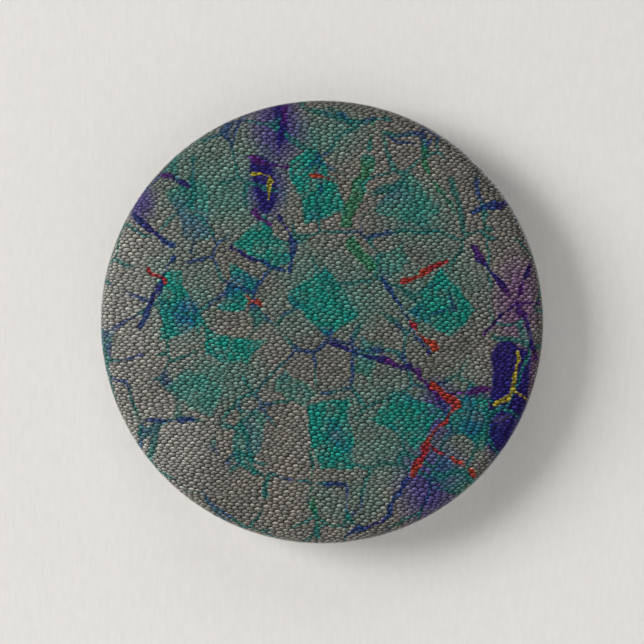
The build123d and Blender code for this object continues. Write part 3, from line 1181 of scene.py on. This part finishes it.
class BADGE_OT_stage(Operator):
    """Set up the camera, the pale wall and floor and the soft lights"""
    bl_idname = "badge.stage"
    bl_label = "Stage"

    def execute(self, context):
        studio = settings().studio
        scene = context.scene
        camera_data = bpy.data.cameras.new("front_camera")
        camera_data.lens = studio.lens
        camera_data.clip_start, camera_data.clip_end = 0.01, 20.0
        camera = bpy.data.objects.new("front_camera", camera_data)
        scene.collection.objects.link(camera)
        rim_y = -(settings().body.hem_radius + settings().body.skirt_height)
        distance = studio.view_width * studio.lens / camera_data.sensor_width
        camera.location = (0.0, rim_y - distance, 0.0)
        camera.rotation_euler = (math.radians(90), 0, 0)
        scene.camera = camera
        scene.view_settings.view_transform = "Standard"

        wall_y = max(BASE_HIGH.y, NEEDLE_HIGH.y) + studio.wall_gap
        floor_z = -studio.floor_drop
        wide, tall, deep = 1.2, 0.8, 0.9
        wall = plain_sheet("wall", [
            (-wide, wall_y, floor_z), (wide, wall_y, floor_z), (wide, wall_y, tall), (-wide, wall_y, tall),
        ], wall_material(True))
        for ray in ("shadow", "diffuse", "glossy", "transmission"):
            setattr(wall, "visible_" + ray, False)
        plain_sheet("floor", [
            (-wide, -deep, floor_z), (wide, -deep, floor_z), (wide, deep, floor_z), (-wide, deep, floor_z),
        ], wall_material(False))

        area_light("key_light", (-1.22, -0.76, 0.38), 0.72, studio.key_power, (1.0, 0.985, 0.965))
        area_light("top_light", (-0.12, -0.48, 1.04), 0.60, studio.top_power, (1.0, 0.99, 0.975))
        area_light("fill_light", (0.30, -0.80, 0.0), 0.6, studio.fill_power, (0.97, 0.985, 1.0))
        area_light("back_key_light", (0.35, 0.40, 0.35), 0.25, studio.back_power)
        area_light("back_fill_light", (-0.45, 0.45, 0.05), 0.5, studio.back_power * 0.6)
        world = bpy.data.worlds.new("Plain surroundings")
        world.use_nodes = True
        tree = world.node_tree
        background = next(node for node in tree.nodes if node.type == "BACKGROUND")
        background.inputs["Color"].default_value = (0.93, 0.94, 0.95, 1.0)
        seen = add(tree, "ShaderNodeLightPath").outputs["Is Camera Ray"]
        levels = {"Value": seen, "To Min": studio.world_strength, "To Max": studio.backdrop_strength}
        strength = add(tree, "ShaderNodeMapRange", levels)
        feed(tree, background.inputs["Strength"], strength.outputs[0])
        scene.world = world
        return {"FINISHED"}


class BadgeSettings(PropertyGroup):
    body: PointerProperty(type=BodySizes)
    grain: PointerProperty(type=GrainSizes)
    pin: PointerProperty(type=PinSizes)
    print_colours: PointerProperty(type=PrintColours)
    metals: PointerProperty(type=MetalColours)
    studio: PointerProperty(type=StudioSettings)


OPERATORS = (
    BADGE_OT_stage, BADGE_OT_printed_disc, BADGE_OT_film, BADGE_OT_pressed_steel,
    BADGE_OT_base_wire, BADGE_OT_coil, BADGE_OT_needle,
)


class BADGE_PT_panel(Panel):
    """Lists the badge's pieces"""
    bl_idname = "BADGE_PT_panel"
    bl_label = "Button Badge"
    bl_space_type = "VIEW_3D"
    bl_region_type = "UI"
    bl_category = "Badge"

    def draw(self, context):
        for operator in OPERATORS:
            self.layout.operator(operator.bl_idname)


CLASSES = (
    BodySizes, GrainSizes, PinSizes, PrintColours, MetalColours, StudioSettings, BadgeSettings,
    *OPERATORS, BADGE_PT_panel,
)


def register():
    for cls in CLASSES:
        bpy.utils.register_class(cls)
    bpy.types.Scene.badge_settings = PointerProperty(type=BadgeSettings)


def unregister():
    del bpy.types.Scene.badge_settings
    for cls in reversed(CLASSES):
        bpy.utils.unregister_class(cls)


def main():
    register()
    bpy.ops.badge.stage()
    bpy.ops.badge.printed_disc()
    bpy.ops.badge.film()
    bpy.ops.badge.pressed_steel()
    bpy.ops.badge.base_wire()
    bpy.ops.badge.coil()
    bpy.ops.badge.needle()


if __name__ == "__main__":
    main()
